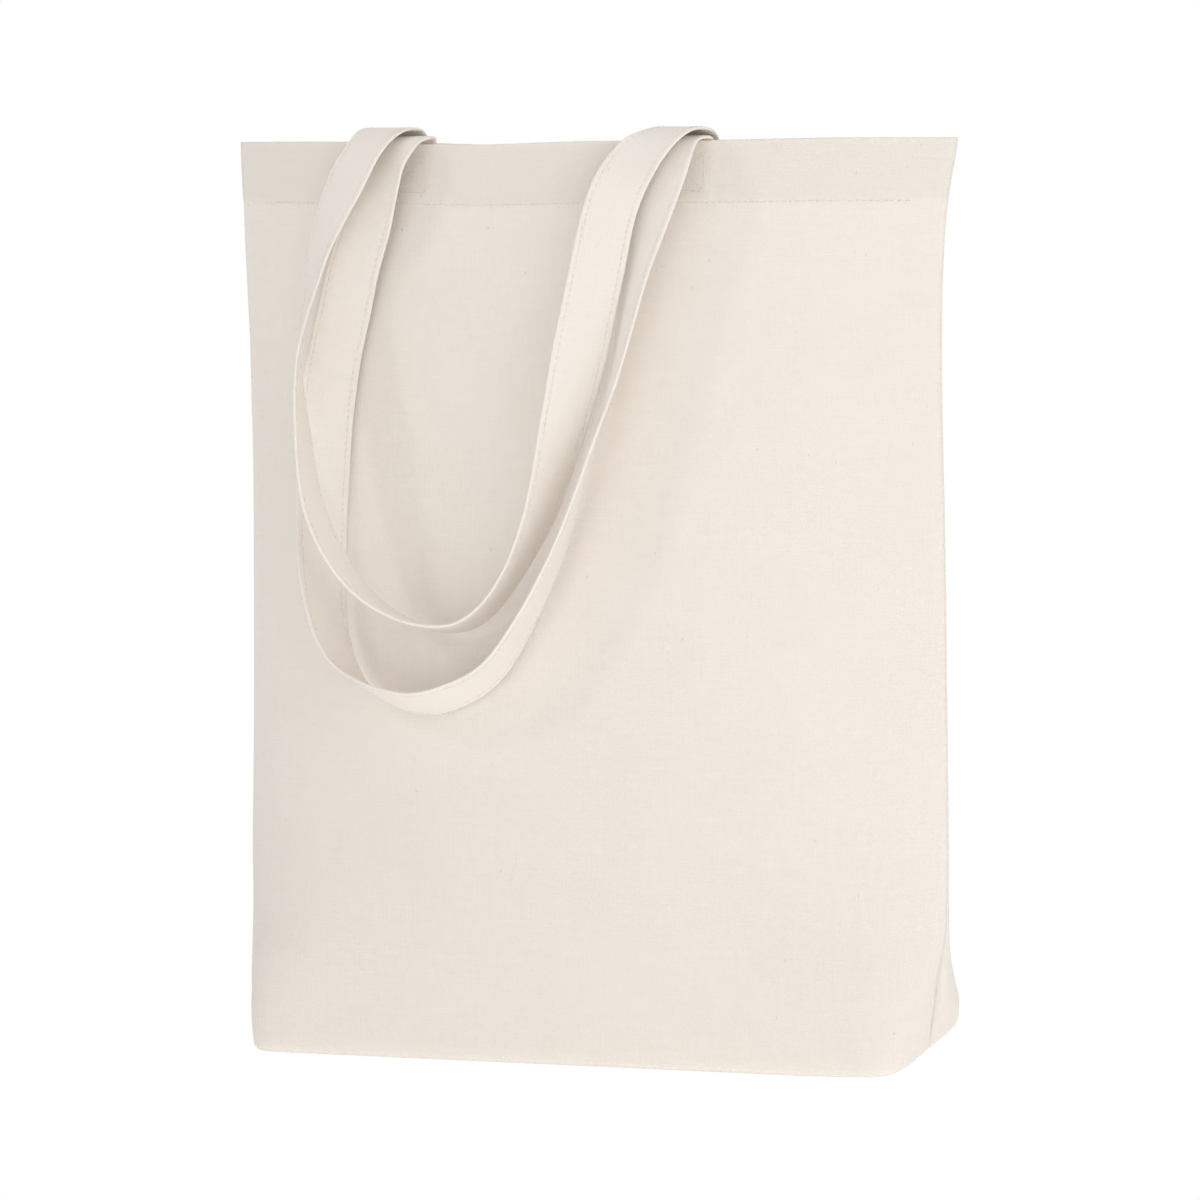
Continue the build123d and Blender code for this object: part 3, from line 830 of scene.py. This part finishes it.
bag_pieces = [front_cloth, back_cloth, base_cloth]
hem_rows = {}
for face_name, face in (("front", FRONT), ("back", BACK)):
    piece = stitch_mesh(f"{face_name}_hem_stitches", hem_stitches(face), HEM_THREAD_RADIUS)
    hem_rows[face_name] = piece
    bag_pieces.append(piece)
tacks = {}
for face_name, face in (("front", FRONT), ("back", BACK)):
    for side_name, side in (("left", LEFT), ("right", RIGHT)):
        piece_name = f"{face_name}_{side_name}_tack_stitches"
        piece = stitch_mesh(piece_name, tack_stitches(face, side), THREAD_RADIUS)
        tacks[face_name, side_name] = piece
        bag_pieces.append(piece)


def new_material(name):
    material = bpy.data.materials.new(name)
    material.use_nodes = True
    return material, material.node_tree, material.node_tree.nodes["Principled BSDF"]


def link(tree, a, b):
    tree.links.new(a, b)


def math_node(tree, operation, a, b=None, clamp=False):
    node = tree.nodes.new("ShaderNodeMath")
    node.operation = operation
    node.use_clamp = clamp
    for socket, value in zip(node.inputs, (a, b)):
        if value is None:
            continue
        if isinstance(value, (int, float)):
            socket.default_value = value
        else:
            link(tree, value, socket)
    return node.outputs[0]


def add(tree, a, b, clamp=False):
    return math_node(tree, "ADD", a, b, clamp)


def times(tree, a, b, clamp=False):
    return math_node(tree, "MULTIPLY", a, b, clamp)


def about(tree, value, middle, gain, clamp=False):
    """How far a value is from the middle, times the gain."""
    return times(tree, math_node(tree, "SUBTRACT", value, middle), gain, clamp)


def mix_colours(tree, factor, a, b):
    """A colour between two, each a plain colour or the output of a node."""
    node = tree.nodes.new("ShaderNodeMix")
    node.data_type = "RGBA"
    link(tree, factor, node.inputs["Factor"])
    for name, colour in (("A", a), ("B", b)):
        if isinstance(colour, tuple):
            node.inputs[name].default_value = (*colour, 1)
        else:
            link(tree, colour, node.inputs[name])
    return node.outputs["Result"]


def noise_node(tree, vector, scale, detail=2.0, rough=0.5):
    node = tree.nodes.new("ShaderNodeTexNoise")
    node.inputs["Scale"].default_value = scale
    node.inputs["Detail"].default_value = detail
    node.inputs["Roughness"].default_value = rough
    link(tree, vector, node.inputs["Vector"])
    return node.outputs["Fac"]


def stretched(tree, vector, scale):
    node = tree.nodes.new("ShaderNodeMapping")
    node.inputs["Scale"].default_value = scale
    link(tree, vector, node.inputs["Vector"])
    return node.outputs["Vector"]


def weave_place(tree):
    """The weave map's vector, and its two parts."""
    uv = tree.nodes.new("ShaderNodeUVMap")
    uv.uv_map = "weave"
    parts = tree.nodes.new("ShaderNodeSeparateXYZ")
    link(tree, uv.outputs["UV"], parts.inputs[0])
    return uv.outputs["UV"], parts.outputs["X"], parts.outputs["Y"]


def point_tone(tree, name):
    node = tree.nodes.new("ShaderNodeAttribute")
    node.attribute_name = name
    return node.outputs["Fac"]


def add_bump(tree, shader, height, strength, distance):
    bump = tree.nodes.new("ShaderNodeBump")
    bump.inputs["Strength"].default_value = strength
    bump.inputs["Distance"].default_value = distance
    link(tree, height, bump.inputs["Height"])
    link(tree, bump.outputs["Normal"], shader.inputs["Normal"])


SEED_FLECK = (0.40, 0.29, 0.18)
RUBBED = (0.93, 0.885, 0.82)
WEFT_PITCH_SHARE = 0.92
WEAVE_DEPTH, SLUB_DEPTH = 0.5, 0.8
PAINTED_SHADE_STRENGTH, PAINTED_SHADE_DARKNESS = 0.2, 0.8


def cotton(name, colour, shade, pitch, fleck=1.0):
    """Unbleached plain-weave cotton: crossing threads, slubs, seed flecks, rubbed edges, and
    painted shade where a point tone asks for it.
    """
    material, tree, shader = new_material(name)
    shader.inputs["Sheen Weight"].default_value = 0.12
    shader.inputs["Sheen Roughness"].default_value = 0.45
    shader.inputs["Specular IOR Level"].default_value = 0.18
    place, along_x, along_y = weave_place(tree)
    turn = math.pi / (pitch * MM)
    sway = about(tree, noise_node(tree, place, 260.0), 0.5, 0.7)
    warp = add(tree, times(tree, along_x, turn), sway)
    weft = add(tree, times(tree, along_y, turn * WEFT_PITCH_SHARE), sway)
    weave = times(tree, math_node(tree, "SINE", warp), math_node(tree, "SINE", weft))
    warp_slub = noise_node(tree, stretched(tree, place, (1400.0, 34.0, 1.0)), 1.0)
    weft_slub = noise_node(tree, stretched(tree, place, (30.0, 1250.0, 1.0)), 1.0)
    slub = add(tree, warp_slub, weft_slub)
    cloud = noise_node(tree, place, 26.0, 3.0, 0.55)
    grain = noise_node(tree, place, 900.0, 2.0, 0.6)
    tone = about(tree, slub, 1.0, 0.55)
    tone = add(tree, tone, about(tree, cloud, 0.5, 0.45))
    tone = add(tree, tone, times(tree, weave, 0.14))
    tone = add(tree, tone, about(tree, grain, 0.5, 0.3))
    tone = add(tree, tone, 0.55, clamp=True)
    surface = mix_colours(tree, tone, shade, colour)
    # Rare small flecks of seed husk.
    cells = tree.nodes.new("ShaderNodeTexVoronoi")
    cells.inputs["Scale"].default_value = 140.0
    link(tree, stretched(tree, place, (1.0, 0.62, 1.0)), cells.inputs["Vector"])
    spot = math_node(tree, "SUBTRACT", 0.085, cells.outputs["Distance"])
    spot = times(tree, spot, 26.0, clamp=True)
    rare = about(tree, noise_node(tree, place, 75.0, 1.0), 0.52, 9.0, clamp=True)
    spot = times(tree, times(tree, spot, rare), 0.3 * fleck)
    surface = mix_colours(tree, spot, surface, SEED_FLECK)
    rub = times(tree, point_tone(tree, "wear"), times(tree, grain, 0.3))
    surface = mix_colours(tree, rub, surface, RUBBED)
    # Painted shade: the colour is darkened along the hem band and in the crease low on the
    # right, from a tone set on the points.
    painted_shade_share = times(tree, point_tone(tree, "painted_shade"), PAINTED_SHADE_STRENGTH)
    painted_shade_colour = tuple(PAINTED_SHADE_DARKNESS * part for part in shade)
    surface = mix_colours(tree, painted_shade_share, surface, painted_shade_colour)
    link(tree, surface, shader.inputs["Base Color"])
    link(tree, add(tree, times(tree, grain, 0.14), 0.80), shader.inputs["Roughness"])
    height = add(tree, times(tree, weave, WEAVE_DEPTH), times(tree, slub, SLUB_DEPTH))
    add_bump(tree, shader, height, 0.34, 0.00022)
    return material


PLY_SLANT, PLY_LENGTH = 1.6, 0.00055


def thread(name, colour, shade):
    """Twisted sewing thread, with slanting plies along each stitch."""
    material, tree, shader = new_material(name)
    shader.inputs["Sheen Weight"].default_value = 0.1
    shader.inputs["Specular IOR Level"].default_value = 0.25
    place, along_x, along_y = weave_place(tree)
    slant = add(tree, along_x, times(tree, along_y, PLY_SLANT))
    ply = math_node(tree, "SINE", times(tree, slant, 2 * math.pi / PLY_LENGTH))
    fuzz = noise_node(tree, place, 1500.0)
    tone = add(tree, times(tree, ply, 0.25), fuzz, clamp=True)
    link(tree, mix_colours(tree, tone, shade, colour), shader.inputs["Base Color"])
    link(tree, add(tree, times(tree, fuzz, 0.2), 0.62), shader.inputs["Roughness"])
    add_bump(tree, shader, ply, 0.4, 0.0001)
    return material


canvas = cotton("canvas", (0.870, 0.818, 0.765), (0.800, 0.738, 0.672), 0.72)
webbing = cotton("strap_canvas", (0.885, 0.836, 0.784), (0.815, 0.756, 0.692), 0.66, 0.6)
cotton_thread = thread("cotton_thread", (0.89, 0.84, 0.785), (0.80, 0.736, 0.665))
for piece in (front_cloth, back_cloth, base_cloth):
    piece.data.materials.append(canvas)
for piece in (front_strap, back_strap):
    piece.data.materials.append(webbing)
stitch_pieces = [front_strap_stitches, back_strap_stitches, *hem_rows.values(), *tacks.values()]
for piece in stitch_pieces:
    piece.data.materials.append(cotton_thread)

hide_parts("front_panel", "front_hem", "left_side_seam")
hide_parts("back_panel", "back_hem", "right_side_seam")
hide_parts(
    "base_panel", "front_base_seam", "back_base_seam",
    "left_corner_seam", "right_corner_seam",
)
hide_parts("front_handle", "front_handle_left_end", "front_handle_right_end")
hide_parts("back_handle", "back_handle_left_end", "back_handle_right_end")
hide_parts("front_handle_stitching")
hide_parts("back_handle_stitching")
for face_name in ("front", "back"):
    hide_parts(f"{face_name}_hem_stitching")
    for side_name in ("left", "right"):
        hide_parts(f"{face_name}_handle_{side_name}_tack")
for piece in bag_pieces:
    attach(piece, "bag")
# The straps' placement is baked into their meshes; their shape already bends just beyond their
# sewn ends, where they come over the mouth.
for piece in (front_strap, front_strap_stitches):
    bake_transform(piece)
for piece in (back_strap, back_strap_stitches):
    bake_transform(piece)


def seen_directly(tree):
    """One for what the camera sees, also in gloss or through glass, and nought for the rest."""
    path = tree.nodes.new("ShaderNodeLightPath")
    seen = math_node(
        tree, "MAXIMUM", path.outputs["Is Camera Ray"], path.outputs["Is Glossy Ray"]
    )
    return math_node(tree, "MAXIMUM", seen, path.outputs["Is Transmission Ray"])


FLOOR_HALF_SIZE = 8.0
FLOOR_GLOW = 0.36
SHADOW_NEAR, SHADOW_FAR = 0.15, 0.7  # distances between which the floor turns to plain white
WHITE_NEAR, WHITE_FAR = 0.9, 1.0  # share of plain white at those distances


def pale_ground():
    """Pale ground: white to the camera far away, with the bag's soft shadow near it."""
    material, tree, shader = new_material("pale_ground")
    shader.inputs["Base Color"].default_value = (0.92, 0.915, 0.90, 1)
    shader.inputs["Roughness"].default_value = 0.95
    # The ground glows faintly on its own, as painted light that stands in for light bounced up
    # from it onto the bag.
    shader.inputs["Emission Color"].default_value = (1, 1, 1, 1)
    shader.inputs["Emission Strength"].default_value = FLOOR_GLOW
    glow = tree.nodes.new("ShaderNodeEmission")
    glow.inputs["Color"].default_value = (1, 1, 1, 1)
    spot = tree.nodes.new("ShaderNodeNewGeometry")
    length = tree.nodes.new("ShaderNodeVectorMath")
    length.operation = "LENGTH"
    link(tree, spot.outputs["Position"], length.inputs[0])
    far = tree.nodes.new("ShaderNodeMapRange")
    far.interpolation_type = "SMOOTHSTEP"
    far.inputs["From Min"].default_value = SHADOW_NEAR
    far.inputs["From Max"].default_value = SHADOW_FAR
    far.inputs["To Min"].default_value = WHITE_NEAR
    far.inputs["To Max"].default_value = WHITE_FAR
    link(tree, length.outputs["Value"], far.inputs["Value"])
    mixed = tree.nodes.new("ShaderNodeMixShader")
    link(tree, times(tree, seen_directly(tree), far.outputs["Result"]), mixed.inputs["Fac"])
    link(tree, shader.outputs["BSDF"], mixed.inputs[1])
    link(tree, glow.outputs["Emission"], mixed.inputs[2])
    output = next(n for n in tree.nodes if n.type == "OUTPUT_MATERIAL")
    link(tree, mixed.outputs["Shader"], output.inputs["Surface"])
    return material


floor_corners = [
    (x * FLOOR_HALF_SIZE, y * FLOOR_HALF_SIZE, 0)
    for x, y in ((-1, -1), (1, -1), (1, 1), (-1, 1))
]
floor = new_object("floor", floor_corners, [(0, 1, 2, 3)])
floor.data.materials.append(pale_ground())

# Even light all round, a little brighter from the right. The camera sees white.
AMBIENT, AMBIENT_SLOPE = 0.53, 0.13
world = bpy.data.worlds.new("studio")
scene.world = world
world.use_nodes = True
sky = world.node_tree
background = next(n for n in sky.nodes if n.type == "BACKGROUND")
background.inputs["Color"].default_value = (1, 1, 1, 1)
ways = sky.nodes.new("ShaderNodeTexCoord")
axes = sky.nodes.new("ShaderNodeSeparateXYZ")
link(sky, ways.outputs["Generated"], axes.inputs[0])
level = add(sky, times(sky, axes.outputs["X"], AMBIENT_SLOPE * AMBIENT), AMBIENT)
lack = times(sky, seen_directly(sky), math_node(sky, "SUBTRACT", 1.0, level))
link(sky, add(sky, level, lack), background.inputs["Strength"])


def lamp(name, kind, place, aim, power, colour):
    data = bpy.data.lights.new(name, kind)
    data.energy = power
    data.color = colour
    obj = bpy.data.objects.new(name, data)
    scene.collection.objects.link(obj)
    obj.location = place
    obj.rotation_euler = (Vector(aim) - Vector(place)).to_track_quat("-Z", "Y").to_euler()
    return data


# Large soft lamps: name, place, power and size.
SOFT_LAMPS = (
    ("wide_right", (2.54, -1.47, 0.5), 24.0, 2.6),
    ("overhead", (0, -0.2, 3.2), 16.0, 2.2),
    ("fill", (0.7, -2.7, 0.6), 7.5, 2.0),
    ("back_fill", (-0.7, 2.7, 0.6), 15.0, 2.0),
)
MIDDLE, STRAP_TOPS = (0, 0, 0.22), (0.06, -0.03, 0.40)
WHITE, WARM_WHITE = (1.0, 0.995, 0.985), (1.0, 0.985, 0.965)
for name, place, power, size in SOFT_LAMPS:
    soft = lamp(name, "AREA", place, MIDDLE, power, WHITE)
    soft.shape = "DISK"
    soft.size = size
# A narrow lamp gives the straps their shadows on the panel.
upper_left = lamp("upper_left", "SPOT", (-1.6, -1.6, 1.87), STRAP_TOPS, 110.0, WARM_WHITE)
upper_left.spot_size = math.radians(9.0)
upper_left.spot_blend = 1.0
upper_left.shadow_soft_size = 0.32
